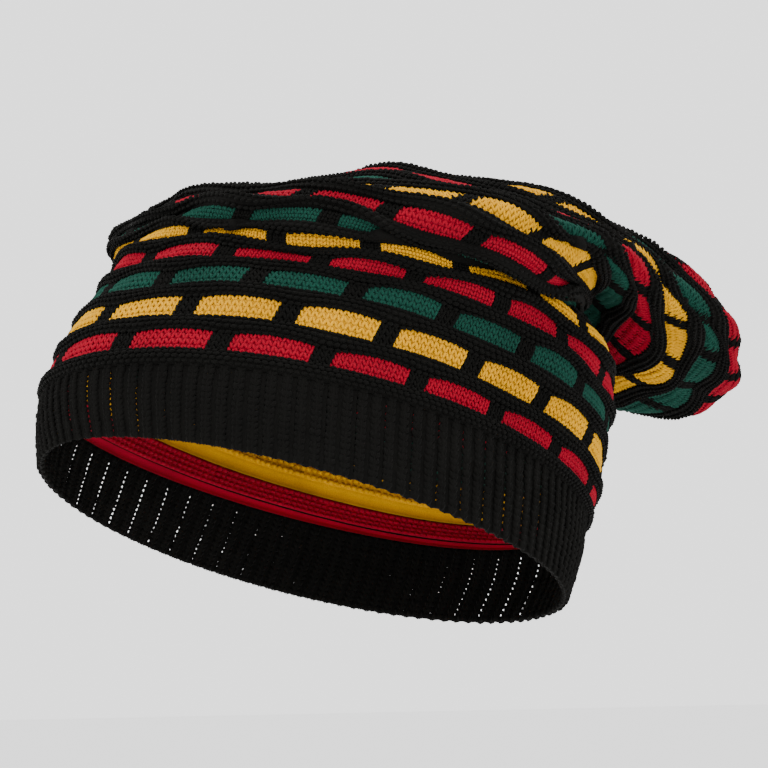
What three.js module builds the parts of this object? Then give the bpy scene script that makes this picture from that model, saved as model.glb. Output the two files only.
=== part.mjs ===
// A slouched knit hat: a ribbed band, thirteen tiers of black welt and coloured round,
// and a gathered crown end that hangs back as a tail. Millimetres, +Z up, front at -Y.
// The origin is the middle of the head opening.
import * as THREE from "three";

// Driving sizes.
const HALF_LENGTH = 96; // opening, half its length from front to back, outside
const HALF_WIDTH = 84; // opening, half its width from side to side, outside
const CROWN_HEIGHT = 120; // top of the hat above the middle of the opening
const TAIL_LENGTH = 82; // how far the tail reaches past the back of the head
const BAND_WALL = 3.4; // ribbed band, from rib crest to inside
const RIB_DEPTH = 0.8; // groove between two ribs
const RIBS = 112; // knit ribs round the band
const CLOTH_WALL = 2.6; // stockinette of a coloured round, and a welt's two edges
const WELT_PROUD = 1.6; // crest of a welt over its edges
const GAP = 0.3; // clearance between neighbouring rounds
const TIERS = 13;
const WELT_SHARE = 0.42; // of a tier's height, the rest being its coloured round
const COLUMNS = 40; // flat facets round a tier

// Sections of the cloth, one a row. Tier counts up from the top of the band.
// front and back are the section's two ends on the hat's middle line: y as a share of
// HALF_LENGTH, z of CROWN_HEIGHT, and tail as a share of TAIL_LENGTH added to the back's y.
// half is the half width and rise the upward bow of the sides, as shares of HALF_WIDTH.
const SECTIONS = [
  { tier: -2.2, frontY: -0.97, frontZ: 0.25, backY: 0.97, tail: 0, backZ: -0.25, half: 0.98, rise: 0.01 },
  { tier: -1.0, frontY: -0.99, frontZ: 0.36, backY: 1.06, tail: 0, backZ: -0.12, half: 0.94, rise: 0.04 },
  { tier: 0.0, frontY: -0.98, frontZ: 0.45, backY: 1.1, tail: 0, backZ: -0.02, half: 0.91, rise: 0.08 },
  { tier: 1.0, frontY: -0.92, frontZ: 0.54, backY: 1.14, tail: 0, backZ: 0.05, half: 0.9, rise: 0.09 },
  { tier: 2.0, frontY: -0.83, frontZ: 0.63, backY: 1.17, tail: 0, backZ: 0.15, half: 0.92, rise: 0.09 },
  { tier: 3.0, frontY: -0.73, frontZ: 0.71, backY: 1.19, tail: 0, backZ: 0.26, half: 0.93, rise: 0.08 },
  { tier: 4.0, frontY: -0.65, frontZ: 0.77, backY: 1.18, tail: 0, backZ: 0.37, half: 0.95, rise: 0.06 },
  { tier: 5.0, frontY: -0.61, frontZ: 0.82, backY: 1.12, tail: 0, backZ: 0.48, half: 0.96, rise: 0.04 },
  { tier: 6.0, frontY: -0.58, frontZ: 0.87, backY: 1.01, tail: 0, backZ: 0.55, half: 0.98, rise: 0.02 },
  { tier: 7.0, frontY: -0.47, frontZ: 0.92, backY: 0.92, tail: 0, backZ: 0.61, half: 1.03, rise: 0.01 },
  { tier: 8.0, frontY: -0.27, frontZ: 0.95, backY: 1.02, tail: 0, backZ: 0.67, half: 1.04, rise: 0.01 },
  { tier: 9.0, frontY: -0.04, frontZ: 0.98, backY: 1.11, tail: 0.08, backZ: 0.61, half: 1.0, rise: 0.02 },
  { tier: 10.0, frontY: 0.18, frontZ: 1.01, backY: 1.11, tail: 0.27, backZ: 0.52, half: 0.93, rise: 0.04 },
  { tier: 11.0, frontY: 0.4, frontZ: 1.02, backY: 1.11, tail: 0.47, backZ: 0.45, half: 0.84, rise: 0.07 },
  { tier: 12.0, frontY: 0.61, frontZ: 0.99, backY: 1.11, tail: 0.71, backZ: 0.41, half: 0.74, rise: 0.09 },
  { tier: 13.0, frontY: 0.82, frontZ: 0.91, backY: 1.11, tail: 0.93, backZ: 0.43, half: 0.62, rise: 0.1 },
  { tier: 13.5, frontY: 1.02, frontZ: 0.87, backY: 1.11, tail: 0.83, backZ: 0.55, half: 0.41, rise: 0.06 },
  { tier: 14.0, frontY: 1.3, frontZ: 0.76, backY: 1.11, tail: 0.33, backZ: 0.71, half: 0.04, rise: 0 },
];

// Colours and surface of the yarns.
const YARN_ROUGHNESS = 0.95;
const YARNS = {
  black: 0x1b1a18,
  red: 0xaa0020,
  yellow: 0xe1ac19,
  green: 0x164e3e,
};
const COLOUR_ORDER = ["red", "yellow", "green"];

// One column of the table at any tier, on a smooth curve through its rows.
function columnAt(name, tier) {
  const last = SECTIONS.length - 1;
  const slope = (i) => {
    const a = SECTIONS[Math.max(i - 1, 0)];
    const b = SECTIONS[Math.min(i + 1, last)];
    return (b[name] - a[name]) / (b.tier - a.tier);
  };
  let i = 0;
  while (i < last - 1 && tier > SECTIONS[i + 1].tier) i += 1;
  const from = SECTIONS[i];
  const to = SECTIONS[i + 1];
  const step = to.tier - from.tier;
  const u = (tier - from.tier) / step;
  const v = 1 - u;
  return (
    from[name] * v * v * (1 + 2 * u) +
    to[name] * u * u * (1 + 2 * v) +
    slope(i) * step * u * v * v -
    slope(i + 1) * step * v * u * u
  );
}

// Where a section lies: its ends, half width and bow, in millimetres.
function sectionAt(tier) {
  return {
    frontY: columnAt("frontY", tier) * HALF_LENGTH,
    frontZ: columnAt("frontZ", tier) * CROWN_HEIGHT,
    backY: columnAt("backY", tier) * HALF_LENGTH + columnAt("tail", tier) * TAIL_LENGTH,
    backZ: columnAt("backZ", tier) * CROWN_HEIGHT,
    half: columnAt("half", tier) * HALF_WIDTH,
    rise: columnAt("rise", tier) * HALF_WIDTH,
  };
}

// A point of the cloth: turn runs from 0 at the front over 0.25 at +X to 0.5 at the back.
function clothPoint(tier, turn) {
  const s = sectionAt(tier);
  const angle = turn * 2 * Math.PI;
  const halfRun = Math.hypot(s.backY - s.frontY, s.backZ - s.frontZ) / 2;
  const runY = (s.backY - s.frontY) / (2 * halfRun);
  const runZ = (s.backZ - s.frontZ) / (2 * halfRun);
  const along = -halfRun * Math.cos(angle);
  const lift = s.rise * Math.sin(angle) ** 2;
  return new THREE.Vector3(
    s.half * Math.sin(angle),
    (s.frontY + s.backY) / 2 + along * runY - lift * runZ,
    (s.frontZ + s.backZ) / 2 + along * runZ + lift * runY,
  );
}

// The cloth's upward direction and outward normal at a point.
function clothFrame(tier, turn) {
  const step = 0.02;
  const up = clothPoint(tier + step, turn).sub(clothPoint(tier - step, turn)).normalize();
  const round = clothPoint(tier, turn + step).sub(clothPoint(tier, turn - step));
  const out = new THREE.Vector3().crossVectors(round, up).normalize();
  return { up, out };
}

// A closed ring of cloth: profile is its wall's corners, each with a tier, a push along the
// cloth and a height over the cloth's middle, listed outside first and then inside.
function ringGeometry(profile, columns, relief = () => 0) {
  const corners = profile.length;
  const positions = [];
  for (let column = 0; column < columns; column += 1) {
    const turn = column / columns;
    for (const { tier, push, over } of profile) {
      const { up, out } = clothFrame(tier, turn);
      const height = over > 0 ? over + relief(column) : over;
      const point = clothPoint(tier, turn).addScaledVector(up, push).addScaledVector(out, height);
      positions.push(point.x, point.y, point.z);
    }
  }
  const faces = [];
  for (let column = 0; column < columns; column += 1) {
    const next = (column + 1) % columns;
    for (let corner = 0; corner < corners; corner += 1) {
      const after = (corner + 1) % corners;
      const a = column * corners + corner;
      const b = next * corners + corner;
      const c = next * corners + after;
      const d = column * corners + after;
      // The lower edge is cut along the same diagonals as the upper edge that it meets.
      if (after === 0) faces.push(a, b, c, a, c, d);
      else faces.push(a, b, d, b, c, d);
    }
  }
  const geometry = new THREE.BufferGeometry();
  geometry.setAttribute("position", new THREE.Float32BufferAttribute(positions, 3));
  geometry.setIndex(faces);
  return geometry;
}

function yarn(colour) {
  return new THREE.MeshStandardMaterial({ color: YARNS[colour], roughness: YARN_ROUGHNESS, metalness: 0 });
}

function named(name, geometry, colour) {
  const mesh = new THREE.Mesh(geometry, yarn(colour));
  mesh.name = name;
  return mesh;
}

// Corners of a plain wall from one tier to another, with extra crests between on the outside.
function wallProfile(from, to, thickness, crests = []) {
  const half = thickness / 2;
  return [
    { tier: from, push: GAP / 2, over: half },
    ...crests.map(({ share, proud }) => ({ tier: from + share * (to - from), push: 0, over: half + proud })),
    { tier: to, push: -GAP / 2, over: half },
    { tier: to, push: -GAP / 2, over: -half },
    { tier: from, push: GAP / 2, over: -half },
  ];
}

function ribbedBand() {
  const profile = wallProfile(SECTIONS[0].tier, 0, BAND_WALL, [{ share: 0.5, proud: 0 }]);
  const groove = (column) => (column % 2 === 0 ? 0 : -RIB_DEPTH);
  return named("ribbed_band", ringGeometry(profile, 2 * RIBS, groove), "black");
}

function welt(tier) {
  const crest = [{ share: 0.5, proud: WELT_PROUD }];
  const profile = wallProfile(tier, tier + WELT_SHARE, CLOTH_WALL, crest);
  return named(`welt_${tier + 1}`, ringGeometry(profile, COLUMNS), "black");
}

function colourRound(tier) {
  const colour = COLOUR_ORDER[tier % COLOUR_ORDER.length];
  const profile = wallProfile(tier + WELT_SHARE, tier + 1, CLOTH_WALL);
  return named(`${colour}_round_${tier + 1}`, ringGeometry(profile, COLUMNS), colour);
}

function crownGather() {
  const last = SECTIONS[SECTIONS.length - 1].tier;
  const profile = wallProfile(TIERS, last, CLOTH_WALL, [{ share: 0.3, proud: 0 }, { share: 0.65, proud: 0 }]);
  return named("crown_gather", ringGeometry(profile, COLUMNS), "black");
}

const hat = new THREE.Group();
hat.add(ribbedBand());
for (let tier = 0; tier < TIERS; tier += 1) {
  hat.add(welt(tier), colourRound(tier));
}
hat.add(crownGather());

export default hat;
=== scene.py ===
"""A long slouched knit tam: a ribbed black band, tiers of coloured blocks, and a folded tail.

The knitting is modelled: rows of small spindles of yarn stand for its stitches. They lie on a
thin wall of cloth that follows one surface, from the rim of the band to the gathered end. The
inside has them on the band and the lower coloured rounds, and is a plain wall elsewhere.
Lengths are in metres, +Z is up and the front of the hat faces -Y.
"""
import logging
import math
from dataclasses import dataclass, field
from enum import Enum
from typing import Iterable, Optional

import bpy
import numpy as np
from mathutils import Matrix, Vector


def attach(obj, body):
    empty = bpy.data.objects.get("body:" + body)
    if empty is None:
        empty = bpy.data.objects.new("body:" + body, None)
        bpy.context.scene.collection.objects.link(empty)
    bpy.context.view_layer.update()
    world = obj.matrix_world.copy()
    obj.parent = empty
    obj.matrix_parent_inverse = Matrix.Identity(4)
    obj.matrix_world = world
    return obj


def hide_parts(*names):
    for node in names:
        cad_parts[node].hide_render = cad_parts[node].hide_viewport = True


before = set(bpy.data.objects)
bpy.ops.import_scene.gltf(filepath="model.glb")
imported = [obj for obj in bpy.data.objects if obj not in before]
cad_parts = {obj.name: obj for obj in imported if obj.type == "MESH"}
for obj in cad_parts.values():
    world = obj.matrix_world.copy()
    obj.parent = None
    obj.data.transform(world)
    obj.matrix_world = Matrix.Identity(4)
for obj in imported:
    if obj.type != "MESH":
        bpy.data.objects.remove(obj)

logging.basicConfig(level=logging.INFO, format="%(message)s")
LOG = logging.getLogger("tam")

BODY = "root"

# A tier is one welt and the coloured round over it. Tier 0 starts at the band's top.
TIERS = 13
BAND_BOTTOM = -2.2
GATHER_END = 14.0
WELT_SHARE = 0.42
TUCK = 0.05  # how far a wall reaches under its neighbours, in tiers

# Ribs of the band, and wales of the blocks and of the black bars between them.
RIBS = 112
REPEATS = 17
BLOCK_WALES = 11
BAR_WALES = 3
WALES = REPEATS * (BLOCK_WALES + BAR_WALES)

# Driving sizes, as in the part's source: the opening's halves, the height and the tail.
HALF_LENGTH = 0.096
HALF_WIDTH = 0.084
CROWN_HEIGHT = 0.120
TAIL_LENGTH = 0.082

# How uneven hand-set yarn is: its tilt in radians, its thickness and place as shares of it.
TILT_SPREAD = 0.09
THICK_SPREAD = 0.06
PLACE_SPREAD = 0.05


class Hue(Enum):
    """The yarns that the hat is knitted from."""

    BLACK = "black"
    RED = "red"
    YELLOW = "yellow"
    GREEN = "green"


COLOUR_ORDER = (Hue.RED, Hue.YELLOW, Hue.GREEN)
Along = float | np.ndarray


@dataclass(frozen=True)
class Section:
    """One section of the cloth, its lengths as shares of the hat's driving sizes.

    front and back are its two ends on the middle line: y of HALF_LENGTH and z of CROWN_HEIGHT,
    with tail of TAIL_LENGTH added to the back's y. half and rise, the half width and the sides'
    upward bow, are shares of HALF_WIDTH. lean turns the knitting around the hat, in turns.
    """

    tier: float
    front_y: float
    front_z: float
    back_y: float
    tail: float
    back_z: float
    half: float
    rise: float
    lean: float


SECTIONS = (
    Section(-2.2, -0.97, 0.25, 0.97, 0.0, -0.25, 0.98, 0.01, 0.0),
    Section(-1.0, -0.99, 0.36, 1.06, 0.0, -0.12, 0.94, 0.04, 0.0),
    Section(0.0, -0.98, 0.45, 1.1, 0.0, -0.02, 0.91, 0.08, 0.0),
    Section(1.0, -0.92, 0.54, 1.14, 0.0, 0.05, 0.9, 0.09, 0.0),
    Section(2.0, -0.83, 0.63, 1.17, 0.0, 0.15, 0.92, 0.09, 0.0),
    Section(3.0, -0.73, 0.71, 1.19, 0.0, 0.26, 0.93, 0.08, 0.0),
    Section(4.0, -0.65, 0.77, 1.18, 0.0, 0.37, 0.95, 0.06, 0.0),
    Section(5.0, -0.61, 0.82, 1.12, 0.0, 0.48, 0.96, 0.04, 0.0),
    Section(6.0, -0.58, 0.87, 1.01, 0.0, 0.55, 0.98, 0.02, 0.008),
    Section(7.0, -0.47, 0.92, 0.92, 0.0, 0.61, 1.03, 0.01, 0.012),
    Section(8.0, -0.27, 0.95, 1.02, 0.0, 0.67, 1.04, 0.01, 0.012),
    Section(9.0, -0.04, 0.98, 1.11, 0.08, 0.61, 1.0, 0.02, 0.012),
    Section(10.0, 0.18, 1.01, 1.11, 0.27, 0.52, 0.93, 0.04, 0.012),
    Section(11.0, 0.4, 1.02, 1.11, 0.47, 0.45, 0.84, 0.07, 0.012),
    Section(12.0, 0.61, 0.99, 1.11, 0.71, 0.41, 0.74, 0.09, 0.012),
    Section(13.0, 0.82, 0.91, 1.11, 0.93, 0.43, 0.62, 0.1, 0.012),
    Section(13.5, 1.02, 0.87, 1.11, 0.83, 0.55, 0.41, 0.06, 0.012),
    Section(14.0, 1.3, 0.76, 1.11, 0.33, 0.71, 0.04, 0.0, 0.012),
)


@dataclass(frozen=True)
class Spot:
    """Places on the cloth with their directions, as arrays of one shape with xyz last."""

    point: np.ndarray
    around: np.ndarray
    up: np.ndarray
    out: np.ndarray


@dataclass(frozen=True)
class Wave:
    """One wave of the slack cloth: its share, its lumps around the hat and its twist up the tiers."""

    share: float
    lumps: int
    twist: float
    start: float = 0.0

    def at(self, angle: np.ndarray, tier: float) -> np.ndarray:
        """The wave's height at each angle of a section."""
        return self.share * np.sin(self.lumps * angle + self.twist * tier + self.start)


def unit(vectors: np.ndarray) -> np.ndarray:
    """Vectors of length one along the given vectors."""
    return vectors / np.maximum(np.linalg.norm(vectors, axis=-1, keepdims=True), 1e-12)


def bell(value: Along, middle: float, spread: float) -> Along:
    """A bell curve of height one round its middle."""
    return np.exp(-(((value - middle) / spread) ** 2))


class Cloth:
    """The hat's surface, placed by tier up the cloth and by turn around it.

    A turn runs from 0 at the front over 0.25 at +X to 0.5 at the back.
    """

    SAMPLES = 720
    STEP = 0.02

    # Loose cloth: lumps that grow to their full height at a tier.
    SLACK = 0.0024
    SLACK_TIER = 6.0
    SWELL = (Wave(0.6, 5, 1.9), Wave(0.4, 11, -2.7, 1.0))
    SINK = (Wave(0.6, 4, -1.3, 0.7), Wave(0.4, 9, 1.1))
    SINK_SHARE = 0.7

    # The fold at both sides: a crease, and over it a roll that swells and drops.
    FOLD_ANGLE = 1.95
    FOLD_SPREAD = 0.6
    CREASE_TIER = 5.35
    CREASE_SPREAD = 0.4
    CREASE_DEPTH = 0.008
    ROLL_TIER = 6.8
    ROLL_SPREAD = 0.9
    ROLL_SWELL = 0.004
    ROLL_DROP = 0.003

    # The far side of the opening hangs lower, by shares of a drop at some tiers.
    HANG_ANGLE = 4.8
    HANG_DROP = 0.0078
    HANG_TIERS = (-2.2, 0.0, 1.0, 5.0)
    HANG_SHARES = (0.95, 2.0, 2.0, 0.0)

    def __init__(self, sections: Iterable[Section]) -> None:
        """Keeps the sections as columns.

        Args:
            sections: the section table, lowest tier first.
        """
        rows = list(sections)
        self.tiers = np.array([row.tier for row in rows])
        self.columns = {
            "front_y": np.array([row.front_y for row in rows]) * HALF_LENGTH,
            "front_z": np.array([row.front_z for row in rows]) * CROWN_HEIGHT,
            "back_y": np.array([row.back_y * HALF_LENGTH + row.tail * TAIL_LENGTH for row in rows]),
            "back_z": np.array([row.back_z for row in rows]) * CROWN_HEIGHT,
            "half": np.array([row.half for row in rows]) * HALF_WIDTH,
            "rise": np.array([row.rise for row in rows]) * HALF_WIDTH,
            "lean": np.array([row.lean for row in rows]),
        }

    def column(self, name: str, tier: np.ndarray) -> np.ndarray:
        """One column at any tier, on a smooth curve through its rows.

        Args:
            name: the column.
            tier: tiers up the cloth.

        Returns:
            The column's value at each tier.
        """
        rows, values = self.tiers, self.columns[name]
        slopes = np.empty_like(values)
        slopes[1:-1] = (values[2:] - values[:-2]) / (rows[2:] - rows[:-2])
        slopes[0] = (values[1] - values[0]) / (rows[1] - rows[0])
        slopes[-1] = (values[-1] - values[-2]) / (rows[-1] - rows[-2])
        i = np.clip(np.searchsorted(rows, tier) - 1, 0, len(rows) - 2)
        step = rows[i + 1] - rows[i]
        u = (tier - rows[i]) / step
        v = 1 - u
        return (values[i] * v * v * (1 + 2 * u) + values[i + 1] * u * u * (1 + 2 * v)
                + slopes[i] * step * u * v * v - slopes[i + 1] * step * v * u * u)

    def point(self, tier: np.ndarray, turn: np.ndarray) -> np.ndarray:
        """Points of the cloth's middle surface, evenly spaced along each section.

        Args:
            tier: tiers up the cloth, one row of points for each.
            turn: turns around the hat, the same shape with a column for each point.

        Returns:
            The points, xyz last.
        """
        angle = np.linspace(0, 2 * math.pi, self.SAMPLES + 1)
        out = np.empty(tier.shape + (3,))
        for row in range(tier.shape[0]):
            one = tier[row, 0]
            at = {name: float(self.column(name, np.array([one]))[0]) for name in self.columns}
            run = np.array([at["back_y"] - at["front_y"], at["back_z"] - at["front_z"]])
            reach = float(np.hypot(*run)) / 2
            run = run / (2 * reach)
            along = -reach * np.cos(angle)
            lift = at["rise"] * np.sin(angle) ** 2
            loop = np.stack([
                at["half"] * np.sin(angle),
                (at["front_y"] + at["back_y"]) / 2 + along * run[0] - lift * run[1],
                (at["front_z"] + at["back_z"]) / 2 + along * run[1] + lift * run[0],
            ], axis=1)
            passed = np.concatenate([[0.0], np.cumsum(np.linalg.norm(np.diff(loop, axis=0), axis=1))])
            loop += self._slack(one, angle, loop)
            share = (turn[row] + at["lean"]) % 1.0 * passed[-1]
            for axis in range(3):
                out[row, :, axis] = np.interp(share, passed, loop[:, axis])
        return out

    def _slack(self, tier: float, angle: np.ndarray, loop: np.ndarray) -> np.ndarray:
        """How the worn cloth departs from one section's plain curve.

        Args:
            tier: the section's tier.
            angle: angles around it.
            loop: its points.

        Returns:
            An offset for each point.
        """
        grip = self.SLACK * min(max(tier / self.SLACK_TIER, 0.0), 1.0)
        swell = sum(wave.at(angle, tier) for wave in self.SWELL)
        sink = sum(wave.at(angle, tier) for wave in self.SINK)
        beside = (bell(angle, self.FOLD_ANGLE, self.FOLD_SPREAD)
                  + bell(2 * math.pi - angle, self.FOLD_ANGLE, self.FOLD_SPREAD))
        crease = self.CREASE_DEPTH * beside * bell(tier, self.CREASE_TIER, self.CREASE_SPREAD)
        roll = beside * bell(tier, self.ROLL_TIER, self.ROLL_SPREAD)
        facing = (0.5 + 0.5 * np.cos(angle - self.HANG_ANGLE)) ** 2
        hang = self.HANG_DROP * facing * np.interp(tier, self.HANG_TIERS, self.HANG_SHARES)
        away = unit(loop - loop[:-1].mean(axis=0))
        offset = away * (grip * swell - crease + self.ROLL_SWELL * roll)[:, None]
        offset[:, 2] += self.SINK_SHARE * grip * sink - self.ROLL_DROP * roll - hang
        return offset

    def spots(self, tiers: np.ndarray, turns: np.ndarray) -> Spot:
        """Points and directions on a grid of tiers and turns.

        Args:
            tiers: tiers up the cloth, one for each row.
            turns: turns around the hat, one for each column, or one row of them for each tier.

        Returns:
            The grid's places.
        """
        tier = np.repeat(tiers[:, None], turns.shape[-1], axis=1)
        turn = np.broadcast_to(turns, tier.shape)
        point = self.point(tier, turn)
        up = self.point(tier + self.STEP, turn) - self.point(tier - self.STEP, turn)
        around = self.point(tier, turn + self.STEP / 8) - self.point(tier, turn - self.STEP / 8)
        out = np.cross(around, up)
        up = np.cross(out, around)
        return Spot(point, unit(around), unit(up), unit(out))

    def heights(self, edges: np.ndarray, turns: np.ndarray) -> np.ndarray:
        """Real heights of the courses between neighbouring tiers.

        Args:
            edges: the courses' edges, as tiers.
            turns: turns around the hat, one for each column.

        Returns:
            A height for each course and column.
        """
        shape = (len(edges), len(turns))
        point = self.point(np.broadcast_to(edges[:, None], shape), np.broadcast_to(turns, shape))
        return np.linalg.norm(np.diff(point, axis=0), axis=-1)


@dataclass(frozen=True)
class Yarn:
    """A knitting yarn's finish: its colour, how it varies, and its fuzz.

    Colours are linear, scales are in cycles a metre, and ramp gives where dark turns to full colour.
    """

    name: str
    colour: tuple[float, float, float]
    dark: tuple[float, float, float]
    fuzz: tuple[float, float, float]
    sheen: float = 0.05
    specular: float = 0.12
    roughness: float = 0.92
    sheen_roughness: float = 0.55
    fibre_scale: float = 2600.0
    cloud_scale: float = 55.0
    fibre_share: float = 0.6
    ramp: tuple[float, float] = (0.32, 0.62)
    bump: float = 0.35
    bump_depth: float = 0.0004

    def material(self) -> bpy.types.Material:
        """Builds the yarn's material from noise on Object coordinates.

        Returns:
            The material.
        """
        material = bpy.data.materials.new(self.name)
        material.use_nodes = True
        tree = material.node_tree
        shader = tree.nodes["Principled BSDF"]
        shader.inputs["Roughness"].default_value = self.roughness
        shader.inputs["Specular IOR Level"].default_value = self.specular
        shader.inputs["Sheen Weight"].default_value = self.sheen
        shader.inputs["Sheen Roughness"].default_value = self.sheen_roughness
        shader.inputs["Sheen Tint"].default_value = (*self.fuzz, 1.0)
        place = tree.nodes.new("ShaderNodeTexCoord")
        fibre = self._noise(tree, place, self.fibre_scale, 3.0)
        cloud = self._noise(tree, place, self.cloud_scale, 4.0)
        ramp = tree.nodes.new("ShaderNodeValToRGB")
        for stop, position, colour in zip(ramp.color_ramp.elements, self.ramp, (self.dark, self.colour)):
            stop.position = position
            stop.color = (*colour, 1.0)
        blend = tree.nodes.new("ShaderNodeMath")
        blend.operation = "MULTIPLY_ADD"
        blend.inputs[1].default_value = self.fibre_share
        tree.links.new(fibre.outputs["Fac"], blend.inputs[0])
        scaled = tree.nodes.new("ShaderNodeMath")
        scaled.operation = "MULTIPLY"
        scaled.inputs[1].default_value = 1 - self.fibre_share
        tree.links.new(cloud.outputs["Fac"], scaled.inputs[0])
        tree.links.new(scaled.outputs[0], blend.inputs[2])
        tree.links.new(blend.outputs[0], ramp.inputs["Fac"])
        tree.links.new(ramp.outputs["Color"], shader.inputs["Base Color"])
        bump = tree.nodes.new("ShaderNodeBump")
        bump.inputs["Strength"].default_value = self.bump
        bump.inputs["Distance"].default_value = self.bump_depth
        tree.links.new(fibre.outputs["Fac"], bump.inputs["Height"])
        tree.links.new(bump.outputs["Normal"], shader.inputs["Normal"])
        return material

    @staticmethod
    def _noise(tree: bpy.types.NodeTree, place: bpy.types.Node, scale: float,
               detail: float) -> bpy.types.Node:
        """Adds a noise texture on Object coordinates.

        Args:
            tree: the material's nodes.
            place: its texture coordinate node.
            scale: the noise's scale, in cycles a metre.
            detail: its octaves.

        Returns:
            The noise node.
        """
        noise = tree.nodes.new("ShaderNodeTexNoise")
        noise.inputs["Scale"].default_value = scale
        noise.inputs["Detail"].default_value = detail
        tree.links.new(place.outputs["Object"], noise.inputs["Vector"])
        return noise


YARNS = {
    Hue.BLACK: Yarn("black_yarn", (0.0040, 0.0038, 0.0033), (0.0019, 0.0018, 0.0016), (0.30, 0.30, 0.27),
                    sheen=0.02, specular=0.06),
    Hue.RED: Yarn("red_yarn", (0.275, 0.0002, 0.0130), (0.178, 0.0001, 0.0080), (0.9, 0.25, 0.3)),
    Hue.YELLOW: Yarn("yellow_yarn", (0.640, 0.320, 0.0003), (0.420, 0.195, 0.0001), (1.0, 0.85, 0.4)),
    Hue.GREEN: Yarn("green_yarn", (0.0035, 0.0440, 0.0290), (0.0018, 0.0260, 0.0170),
                    (0.3, 0.6, 0.5)),
}


class Leg:
    """One leg of a stitch: a low spindle of yarn, modelled once and copied."""

    SIDES = 4
    TAPER = 0.82
    POLE = 0.4  # a vertex further from the middle than this is one of the two ends

    def __init__(self) -> None:
        """Models the spindle from a sphere primitive, one unit long and one unit thick."""
        bpy.ops.object.select_all(action="DESELECT")
        bpy.ops.mesh.primitive_uv_sphere_add(segments=self.SIDES, ring_count=3, radius=0.5)
        seed = bpy.context.active_object
        mesh = seed.data
        self.vertices = np.array([vertex.co[:] for vertex in mesh.vertices])
        waist = np.abs(self.vertices[:, 2]) < self.POLE
        self.vertices[waist, 2] *= self.TAPER
        self.faces = []
        for polygon in mesh.polygons:
            corners = list(polygon.vertices)
            self.faces += [(corners[0], corners[i], corners[i + 1]) for i in range(1, len(corners) - 1)]
        self.faces = np.array(self.faces)
        bpy.data.objects.remove(seed)
        bpy.data.meshes.remove(mesh)


@dataclass
class Laid:
    """Legs of yarn laid on the cloth, as flat arrays with a row for each leg."""

    centre: np.ndarray
    length: np.ndarray
    width: np.ndarray
    height: np.ndarray
    finish: np.ndarray

    def mesh_arrays(self, leg: Leg) -> tuple[np.ndarray, np.ndarray, np.ndarray]:
        """Copies the leg to every place.

        Args:
            leg: the modelled leg.

        Returns:
            All vertices, all triangles and each triangle's material index.
        """
        local = leg.vertices
        points = (self.centre[:, None, :]
                  + local[None, :, 2:3] * self.length[:, None, :]
                  + local[None, :, 0:1] * self.width[:, None, :]
                  + local[None, :, 1:2] * self.height[:, None, :])
        count = len(self.centre)
        offset = np.arange(count)[:, None, None] * len(local)
        faces = leg.faces[None, :, :] + offset
        finish = np.repeat(self.finish, len(leg.faces))
        return points.reshape(-1, 3), faces.reshape(-1, 3), finish


def lay(spots: Spot, slant: float, long: np.ndarray, thick: np.ndarray, finish: np.ndarray,
        shift: Along = 0.0, climb: Along = 0.0, lift: Along = 0.0, seed: int = 1) -> Laid:
    """Lays one leg at each spot, each a little out of true as hand-set yarn is.

    Args:
        spots: places on the cloth.
        slant: the legs' turn away from the cloth's upward direction, in radians.
        long: each leg's length.
        thick: each leg's thickness.
        finish: each leg's material index.
        shift: each leg's move around the hat.
        climb: each leg's move up the cloth.
        lift: each leg's height over the cloth's middle.
        seed: picks the unevenness.

    Returns:
        The laid legs.
    """
    shape = spots.point.shape[:-1]
    uneven = np.random.default_rng(seed).normal(0.0, 1.0, (4,) + shape)
    tilt = (slant + TILT_SPREAD * uneven[0])[..., None]
    along = spots.up * np.cos(tilt) + spots.around * np.sin(tilt)
    across = spots.around * np.cos(tilt) - spots.up * np.sin(tilt)
    thick = np.broadcast_to(thick, shape) * (1 + THICK_SPREAD * uneven[1])
    centre = (spots.point
              + spots.around * (np.broadcast_to(shift, shape) + PLACE_SPREAD * thick * uneven[2])[..., None]
              + spots.up * np.broadcast_to(climb, shape)[..., None]
              + spots.out * (np.broadcast_to(lift, shape) + PLACE_SPREAD * thick * uneven[3])[..., None])
    return Laid(
        centre.reshape(-1, 3),
        (along * np.broadcast_to(long, shape)[..., None]).reshape(-1, 3),
        (across * thick[..., None]).reshape(-1, 3),
        (spots.out * thick[..., None]).reshape(-1, 3),
        np.broadcast_to(finish, shape).reshape(-1),
    )


@dataclass(frozen=True)
class Bricks:
    """How the coloured blocks stand round the hat, half a repeat apart from one round to the next."""

    phase: float = 0.82
    share: float = BLOCK_WALES / (BLOCK_WALES + BAR_WALES)
    dip: float = 0.0013
    squareness: float = 0.6

    def cell(self, tier: int, wales: np.ndarray) -> np.ndarray:
        """Each wale's place in its repeat, from 0 to 1, block first.

        Args:
            tier: the round, counted from the band.
            wales: wale numbers, which may be fractions.

        Returns:
            The places.
        """
        offset = 0.5 if tier % 2 else 0.0
        return (wales * REPEATS / WALES - self.phase + offset) % 1.0

    def black(self, tier: int, wales: np.ndarray) -> np.ndarray:
        """Where the black bars are, as 1 on a bar and 0 on a block."""
        return np.where(self.cell(tier, wales) < self.share, 0, 1)

    def crown(self, tier: int, wales: np.ndarray) -> np.ndarray:
        """How full the block is at each wale: 1 at its middle, 0 at its ends and on the bars."""
        place = np.clip(self.cell(tier, wales) / self.share, 0, 1)
        return np.sin(place * math.pi) ** self.squareness

    def sag(self, tier: int, wales: np.ndarray) -> np.ndarray:
        """How far the round's upper edge lies under its middle's height at each wale, in metres."""
        return self.dip * (1 - self.crown(tier, wales))


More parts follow.
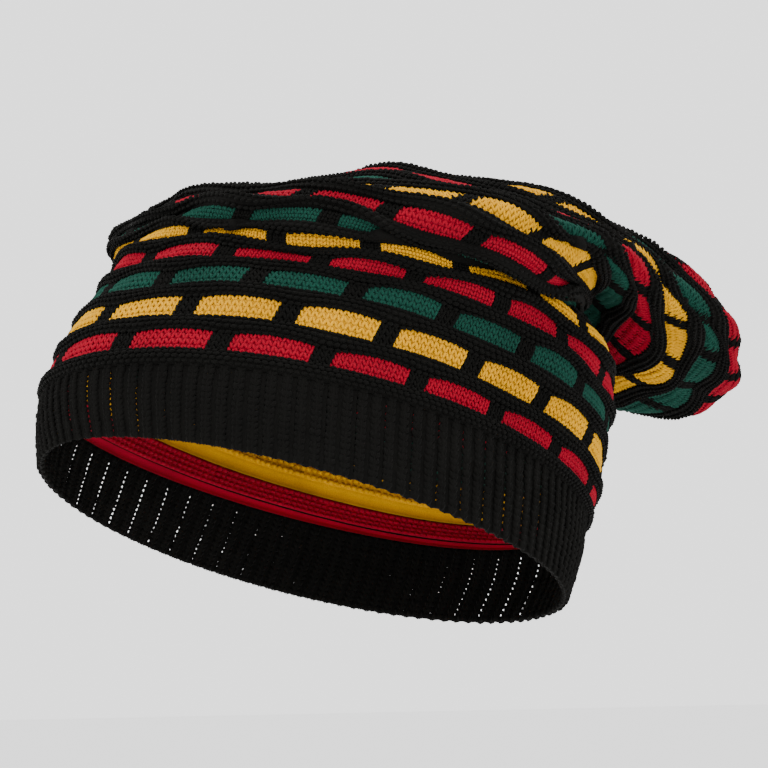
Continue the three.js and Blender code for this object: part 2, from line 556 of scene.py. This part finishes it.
@dataclass
class KnitPiece:
    """A piece of the hat: a thin wall of cloth with its yarns laid on it."""

    MERGE = 1e-6

    cloth: Cloth
    leg: Leg
    node: str
    slot: str
    hues: tuple[Hue, ...]
    laid: list[Laid] = field(default_factory=list)

    def wall(self, tiers: np.ndarray, columns: int, lift: np.ndarray, thickness: float,
             materials: dict[Hue, bpy.types.Material], finish: Optional[np.ndarray] = None,
             holes: Optional[np.ndarray] = None, inside: int = 0) -> bpy.types.Object:
        """Makes the wall: a grid placed on the cloth, closed round, and given its thickness.

        Args:
            tiers: tiers of its rows of vertices.
            columns: columns around the hat.
            lift: its outer face's height over the cloth, for each row and column.
            thickness: the wall's thickness.
            materials: the yarns' materials.
            finish: each outer face's material index, by row and column. Edges are the first yarn.
            holes: which faces are left open, by row and column.
            inside: the inner face's material index.

        Returns:
            The wall's object.
        """
        rows = len(tiers)
        bpy.ops.object.select_all(action="DESELECT")
        bpy.ops.mesh.primitive_grid_add(x_subdivisions=columns, y_subdivisions=rows - 1, size=2.0)
        wall = bpy.context.active_object
        for hue in self.hues:
            wall.data.materials.append(materials[hue])
        turns = np.arange(columns + 1) / columns
        spots = self.cloth.spots(tiers, turns)
        points = spots.point + spots.out * np.broadcast_to(lift, spots.point.shape[:-1])[..., None]
        wall.data.vertices.foreach_set("co", points.reshape(-1))
        if finish is not None:
            each = np.broadcast_to(finish, (rows - 1, columns)).reshape(-1)
            wall.data.polygons.foreach_set("material_index", each)
        wall.data.update()
        bpy.ops.object.mode_set(mode="EDIT")
        bpy.ops.mesh.select_all(action="SELECT")
        bpy.ops.mesh.remove_doubles(threshold=self.MERGE)
        bpy.ops.mesh.select_mode(type="FACE")
        bpy.ops.mesh.select_all(action="DESELECT")
        bpy.ops.object.mode_set(mode="OBJECT")
        if holes is not None:
            wall.data.polygons.foreach_set("select", holes.reshape(-1))
            bpy.ops.object.mode_set(mode="EDIT")
            bpy.ops.mesh.delete(type="FACE")
            bpy.ops.object.mode_set(mode="OBJECT")
        outside = len(wall.data.polygons)
        solidify = wall.modifiers.new("wall", "SOLIDIFY")
        solidify.thickness = thickness
        solidify.offset = -1.0
        bpy.ops.object.modifier_apply(modifier=solidify.name)
        index = np.zeros(len(wall.data.polygons), dtype=np.int32)
        wall.data.polygons.foreach_get("material_index", index)
        # The modifier lists the outer faces first, then the inner ones, then the edges.
        index[outside:] = 0
        index[outside:2 * outside] = inside
        wall.data.polygons.foreach_set("material_index", index)
        return wall

    def yarns(self) -> bpy.types.Object:
        """Joins all laid legs into one mesh.

        Returns:
            The object of legs.
        """
        parts = [one.mesh_arrays(self.leg) for one in self.laid]
        starts = np.cumsum([0] + [len(points) for points, _, _ in parts[:-1]])
        points = np.concatenate([part[0] for part in parts])
        faces = np.concatenate([part[1] + start for part, start in zip(parts, starts)])
        finish = np.concatenate([part[2] for part in parts])
        mesh = bpy.data.meshes.new(self.node + "_yarns")
        mesh.vertices.add(len(points))
        mesh.vertices.foreach_set("co", points.reshape(-1))
        mesh.loops.add(faces.size)
        mesh.loops.foreach_set("vertex_index", faces.reshape(-1).astype(np.int32))
        mesh.polygons.add(len(faces))
        mesh.polygons.foreach_set("loop_start", np.arange(0, faces.size, 3, dtype=np.int32))
        mesh.polygons.foreach_set("material_index", finish.astype(np.int32))
        mesh.update(calc_edges=True)
        mesh.validate()
        legs = bpy.data.objects.new(self.node + "_yarns", mesh)
        bpy.context.scene.collection.objects.link(legs)
        return legs

    def close(self, wall: bpy.types.Object,
              materials: dict[Hue, bpy.types.Material]) -> bpy.types.Object:
        """Joins wall and yarns, dresses them and puts them in the node's place.

        Args:
            wall: the wall of cloth.
            materials: the yarns' materials.

        Returns:
            The finished piece.
        """
        legs = self.yarns()
        for hue in self.hues:
            legs.data.materials.append(materials[hue])
        bpy.ops.object.select_all(action="DESELECT")
        wall.select_set(True)
        legs.select_set(True)
        bpy.context.view_layer.objects.active = wall
        bpy.ops.object.join()
        wall.name = self.node + "_knit"
        bpy.ops.object.shade_smooth()
        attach(wall, BODY)
        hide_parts(self.node)
        return wall


def gauge(spots: Spot) -> np.ndarray:
    """The width of a wale at each spot: the way to the next spot around the hat."""
    return np.linalg.norm(np.roll(spots.point, -1, axis=1) - spots.point, axis=-1)


def round_hue(tier: int) -> Hue:
    """The colour of a tier's round."""
    return COLOUR_ORDER[tier % len(COLOUR_ORDER)]


@dataclass
class RibbedBand:
    """The band: one by one rib, alike inside and outside, with pinholes beside every other rib.

    slant, spread and overlap set the stitches' legs: their tilt, their distance from the rib's
    middle, and their length as a share of a course.
    """

    cloth: Cloth
    leg: Leg
    ribs: int = RIBS
    courses: int = 14
    faces_per_rib: int = 6
    open_faces: tuple[int, int] = (1, 4)
    closed_rows: tuple[int, int] = (2, 3)
    depth: float = 0.0012
    wall: float = 0.0012
    yarn: float = 0.00196
    slant: float = 0.42
    spread: float = 0.00082
    overlap: float = 1.6

    def pinholes(self) -> np.ndarray:
        """Which faces of the wall are left open.

        Returns:
            True where a face is open, by half course and column.
        """
        rows = np.arange(2 * self.courses)
        columns = np.arange(self.ribs * self.faces_per_rib)
        below, above = self.closed_rows
        row_open = (rows % 2 == 0) & (rows >= below) & (rows < len(rows) - above)
        column_open = np.isin(columns % (2 * self.faces_per_rib), self.open_faces)
        return row_open[:, None] & column_open[None, :]

    def build(self, materials: dict[Hue, bpy.types.Material]) -> bpy.types.Object:
        """Knits the band.

        Args:
            materials: the yarns' materials.

        Returns:
            The finished band.
        """
        piece = KnitPiece(self.cloth, self.leg, "ribbed_band", "black_rib_knit", (Hue.BLACK,))
        columns = self.ribs * self.faces_per_rib
        courses = np.linspace(BAND_BOTTOM, TUCK, self.courses + 1)
        half_courses = np.linspace(BAND_BOTTOM, TUCK, 2 * self.courses + 1)
        wave = np.cos(np.arange(columns + 1) / columns * self.ribs * 2 * math.pi)
        outer = self.wall / 2 + self.depth / 2 * wave[None, :]
        wall = piece.wall(half_courses, columns, outer, self.wall, materials, holes=self.pinholes())
        middle = (courses[1:] + courses[:-1]) / 2
        for face, first in ((1.0, 0.0), (-1.0, 0.5)):
            turns = (np.arange(self.ribs) + first) / self.ribs
            spots = self.cloth.spots(middle, turns)
            step = self.cloth.heights(courses, turns)
            for side in (-1.0, 1.0):
                piece.laid.append(lay(spots, side * self.slant, step * self.overlap, np.array(self.yarn),
                                      np.array(0), shift=side * self.spread, lift=face * self.wall / 2))
        return piece.close(wall, materials)


@dataclass
class Welt:
    """A purl welt: a proud black roll of purl bumps that follows the upper edge of the round under it.

    Welts stand prouder where the slack crown bunches them, and the lowest are lined with their
    round's colour. sunk is the wall's depth under the yarns' middles, and foot and fade say how
    much of the roll, from its foot up, follows the round under it.
    """

    cloth: Cloth
    leg: Leg
    bricks: Bricks
    tier: int
    rows: int = 4
    faces: int = 5
    lined_tiers: int = 4
    base: float = 0.0010
    proud: float = 0.0017
    bunched: float = 0.0022
    bunched_tier: float = 6.0
    bunched_spread: float = 1.6
    roundness: float = 0.7
    sunk: float = 0.0004
    wall: float = 0.0020
    yarn: float = 0.0016
    overlap: float = 1.15
    foot: float = 1.15
    fade: float = 1.3

    def height(self, share: np.ndarray) -> np.ndarray:
        """The roll's height over the cloth at each share of its way up, from 0 to 1."""
        proud = self.proud + self.bunched * bell(self.tier, self.bunched_tier, self.bunched_spread)
        return self.base + proud * np.sin(share * math.pi) ** self.roundness

    def drop(self, share: np.ndarray, wales: np.ndarray) -> np.ndarray:
        """How far the roll's bumps lie lower where the round under it dips.

        Args:
            share: places up the roll, from 0 to 1.
            wales: wale numbers.

        Returns:
            A drop for each place and wale.
        """
        sag = self.bricks.sag(self.tier - 1, wales) if self.tier else np.zeros(len(wales))
        follow = np.clip(self.foot - share * self.fade, 0, 1)
        return follow[:, None] * sag[None, :]

    def build(self, materials: dict[Hue, bpy.types.Material]) -> bpy.types.Object:
        """Knits the welt.

        Args:
            materials: the yarns' materials.

        Returns:
            The finished welt.
        """
        hues = (Hue.BLACK, round_hue(self.tier))
        piece = KnitPiece(self.cloth, self.leg, f"welt_{self.tier + 1}", "black_purl_knit", hues)
        share = np.linspace(0, 1, self.faces + 1)
        tiers = self.tier - TUCK + share * (WELT_SHARE + 2 * TUCK)
        outer = (self.height(share) - self.sunk)[:, None]
        wall = piece.wall(tiers, WALES, outer, self.wall, materials,
                          inside=int(self.tier < self.lined_tiers))
        bump = (np.arange(self.rows) + 0.5) / self.rows
        for parity in (0, 1):
            rows = bump[np.arange(self.rows) % 2 == parity]
            wales = np.arange(WALES) + 0.5 * parity
            spots = self.cloth.spots(self.tier + rows * WELT_SHARE, wales / WALES)
            piece.laid.append(lay(spots, math.pi / 2, gauge(spots) * self.overlap, np.array(self.yarn),
                                  np.array(0), climb=-self.drop(rows, wales),
                                  lift=self.height(rows)[:, None], seed=self.tier * 2 + parity))
        return piece.close(wall, materials)


@dataclass
class ColourRound:
    """A coloured round: blocks of stockinette between black bars, purled inside on the lower tiers.

    sunk is the wall's depth under the round's face, and yarn_rise and bar_rise are the yarns'
    height over it. slant, spread and overlap set the legs: their tilt, their distance from the
    wale's middle as a share of it, and their length as a share of a course. widest is a leg's
    most thickness as a share of a wale.
    """

    cloth: Cloth
    leg: Leg
    bricks: Bricks
    tier: int
    courses: int = 4
    lined_tiers: int = 6
    base: float = 0.0006
    puff: float = 0.0006
    bar: float = 0.8
    roundness: float = 0.7
    sunk: float = 0.0003
    yarn_rise: float = 0.0001
    bar_rise: float = 0.0003
    wall: float = 0.0016
    yarn: float = 0.00135
    widest: float = 0.62
    slant: float = 0.40
    spread: float = 0.25
    overlap: float = 1.5
    lining_depth: float = 0.0004
    lining_overlap: float = 1.1
    lining_share: float = 0.9

    def height(self, wales: np.ndarray, share: np.ndarray) -> np.ndarray:
        """The outer face's height over the cloth: blocks puff out, and bars stand a little lower.

        Args:
            wales: wale numbers.
            share: places up the round, from 0 to 1.

        Returns:
            A height for each place and wale.
        """
        full = np.maximum(self.bricks.crown(self.tier, wales), self.bar)
        bow = np.sin(share * math.pi) ** self.roundness
        return self.base + self.puff * full[None, :] * bow[:, None]

    def build(self, materials: dict[Hue, bpy.types.Material]) -> bpy.types.Object:
        """Knits the round.

        Args:
            materials: the yarns' materials.

        Returns:
            The finished round.
        """
        hue = round_hue(self.tier)
        name = f"{hue.value}_round_{self.tier + 1}"
        piece = KnitPiece(self.cloth, self.leg, name, f"{hue.value}_knit", (hue, Hue.BLACK))
        tiers = np.linspace(self.tier + WELT_SHARE - TUCK, self.tier + 1 + TUCK, self.courses + 1)
        share = np.linspace(0, 1, self.courses + 1)
        edges = np.arange(WALES + 1) + 0.0
        wales = np.arange(WALES) + 0.5
        black = self.bricks.black(self.tier, wales)
        outer = self.height(edges, share) - self.sunk
        wall = piece.wall(tiers, WALES, outer, self.wall, materials, black)
        course = (tiers[1:] + tiers[:-1]) / 2
        middle = (share[1:] + share[:-1]) / 2
        spots = self.cloth.spots(course, wales / WALES)
        step = self.cloth.heights(tiers, wales / WALES)
        wale = gauge(spots)
        face = self.height(wales, middle)
        for side in (-1.0, 1.0):
            piece.laid.append(lay(
                spots, side * self.slant, step * self.overlap, np.minimum(self.yarn, wale * self.widest),
                black, shift=side * wale * self.spread,
                climb=-middle[:, None] * self.bricks.sag(self.tier, wales)[None, :],
                lift=face + self.yarn_rise + self.bar_rise * black[None, :],
                seed=100 + self.tier * 2 + int(side > 0)))
        if self.tier < self.lined_tiers:
            piece.laid.append(lay(
                spots, math.pi / 2, wale * self.lining_overlap, step * self.lining_share, np.array(0),
                lift=face - self.wall - self.lining_depth, seed=200 + self.tier))
        return piece.close(wall, materials)


@dataclass
class CrownGather:
    """The closed end, its cloth drawn in to a small hole in soft pleats."""

    cloth: Cloth
    leg: Leg
    pleats: int = 28
    faces_per_pleat: int = 8
    courses: int = 14
    base: float = 0.0012
    depth: float = 0.0022
    roundness: float = 0.8
    wall: float = 0.0020
    yarn: float = 0.0013
    least_wale: float = 0.0012
    overlap: float = 1.15

    def height(self, share: np.ndarray, turns: np.ndarray) -> np.ndarray:
        """The pleats' height over the cloth.

        Args:
            share: places from the last tier to the hole, from 0 to 1.
            turns: turns around the hat.

        Returns:
            A height for each place and turn.
        """
        ripple = np.cos(turns * self.pleats * 2 * math.pi)
        bow = np.sin(share * math.pi) ** self.roundness
        return self.base + self.depth / 2 * bow[:, None] * ripple[None, :]

    def build(self, materials: dict[Hue, bpy.types.Material]) -> bpy.types.Object:
        """Knits the gathered end.

        Args:
            materials: the yarns' materials.

        Returns:
            The finished end.
        """
        piece = KnitPiece(self.cloth, self.leg, "crown_gather", "black_purl_knit", (Hue.BLACK,))
        columns = self.pleats * self.faces_per_pleat
        share = np.linspace(0, 1, self.courses + 1)
        tiers = TIERS + share * (GATHER_END - TIERS)
        outer = self.height(share, np.arange(columns + 1) / columns)
        wall = piece.wall(tiers, columns, outer, self.wall, materials)
        middle = (share[1:] + share[:-1]) / 2
        turns = (np.arange(WALES) + 0.5) / WALES
        spots = self.cloth.spots((tiers[1:] + tiers[:-1]) / 2, turns)
        long = np.maximum(gauge(spots), self.least_wale) * self.overlap
        piece.laid.append(lay(spots, math.pi / 2, long, np.array(self.yarn), np.array(0),
                              lift=self.height(middle, turns), seed=99))
        return piece.close(wall, materials)


@dataclass
class Studio:
    """A white floor with soft light, and the camera at the photograph's angle.

    The camera stands distance away from the opening's middle, which falls on origin_pixel.
    """

    azimuth: float = math.radians(55.0)
    elevation: float = math.radians(-2.8)
    roll: float = math.radians(0.9)
    distance: float = 1.2
    pixels_per_metre: float = 2900.0
    image_size: int = 768
    origin_pixel: tuple[float, float] = (305.0, 529.0)
    sensor: float = 36.0
    floor_height: float = -0.16
    floor_size: float = 40.0
    surroundings: float = 2.0

    def directions(self) -> tuple[Vector, Vector, Vector]:
        """The camera's view, right and up directions.

        Returns:
            Unit vectors, view pointing from the hat to the camera.
        """
        level = math.cos(self.elevation)
        view = Vector((math.sin(self.azimuth) * level, -math.cos(self.azimuth) * level,
                       math.sin(self.elevation)))
        level_right = Vector((math.cos(self.azimuth), math.sin(self.azimuth), 0.0))
        right = level_right * math.cos(self.roll) - view.cross(level_right) * math.sin(self.roll)
        return view, right, view.cross(right)

    def camera(self) -> bpy.types.Object:
        """Stands the camera off the opening's middle and turns it so that this falls on its pixel.

        Returns:
            The camera.
        """
        view, right, up = self.directions()
        half = self.image_size / 2
        aim = right * (half - self.origin_pixel[0]) + up * (self.origin_pixel[1] - half)
        aim /= self.pixels_per_metre
        data = bpy.data.cameras.new("camera")
        data.sensor_width = self.sensor
        data.lens = data.sensor_width * self.pixels_per_metre * self.distance / self.image_size
        camera = bpy.data.objects.new("camera", data)
        camera.location = view * self.distance
        back = (camera.location - aim).normalized()
        across = (right - back * right.dot(back)).normalized()
        camera.rotation_euler = Matrix((across, back.cross(across), back)).transposed().to_euler()
        bpy.context.scene.collection.objects.link(camera)
        bpy.context.scene.camera = camera
        return camera

    def floor(self) -> None:
        """Lays a plain white floor that reaches out of sight."""
        bpy.ops.object.select_all(action="DESELECT")
        bpy.ops.mesh.primitive_plane_add(size=self.floor_size, location=(0.0, 0.0, self.floor_height))
        floor = bpy.context.active_object
        floor.name = "floor"
        material = bpy.data.materials.new("white_sweep")
        material.use_nodes = True
        shader = material.node_tree.nodes["Principled BSDF"]
        shader.inputs["Base Color"].default_value = (0.9, 0.9, 0.9, 1.0)
        shader.inputs["Roughness"].default_value = 0.9
        floor.data.materials.append(material)

    def lights(self) -> None:
        """Hangs the soft lights and sets the white surroundings."""
        world = bpy.data.worlds.new("white_room")
        world.use_nodes = True
        world.node_tree.nodes["Background"].inputs["Color"].default_value = (1.0, 1.0, 1.0, 1.0)
        world.node_tree.nodes["Background"].inputs["Strength"].default_value = self.surroundings
        bpy.context.scene.world = world
        view, right, _ = self.directions()
        for name, place, size, watts in (
                ("key", view * 1.2 - right * 0.7 + Vector((0, 0, 1.0)), 0.7, 12.0),
                ("fill", view * 1.2 + right * 0.8 - Vector((0, 0, 0.02)), 0.8, 4.0),
                ("top", Vector((0.0, 0.1, 1.3)), 0.8, 6.0)):
            data = bpy.data.lights.new(name, "AREA")
            data.shape = "DISK"
            data.size = size
            data.energy = watts
            light = bpy.data.objects.new(name, data)
            light.location = place
            light.rotation_euler = place.to_track_quat("Z", "Y").to_euler()
            bpy.context.scene.collection.objects.link(light)


def main() -> None:
    """Builds the hat piece by piece, then the room around it."""
    studio = Studio()
    studio.camera()
    materials = {hue: yarn.material() for hue, yarn in YARNS.items()}
    cloth = Cloth(SECTIONS)
    leg = Leg()
    bricks = Bricks()
    pieces: list[RibbedBand | Welt | ColourRound | CrownGather] = [RibbedBand(cloth, leg)]
    for tier in range(TIERS):
        pieces += [Welt(cloth, leg, bricks, tier), ColourRound(cloth, leg, bricks, tier)]
    pieces.append(CrownGather(cloth, leg))
    for piece in pieces:
        knit = piece.build(materials)
        LOG.info("%s: %d faces", knit.name, len(knit.data.polygons))
    studio.floor()
    studio.lights()


if __name__ == "__main__":
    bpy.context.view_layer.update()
    main()
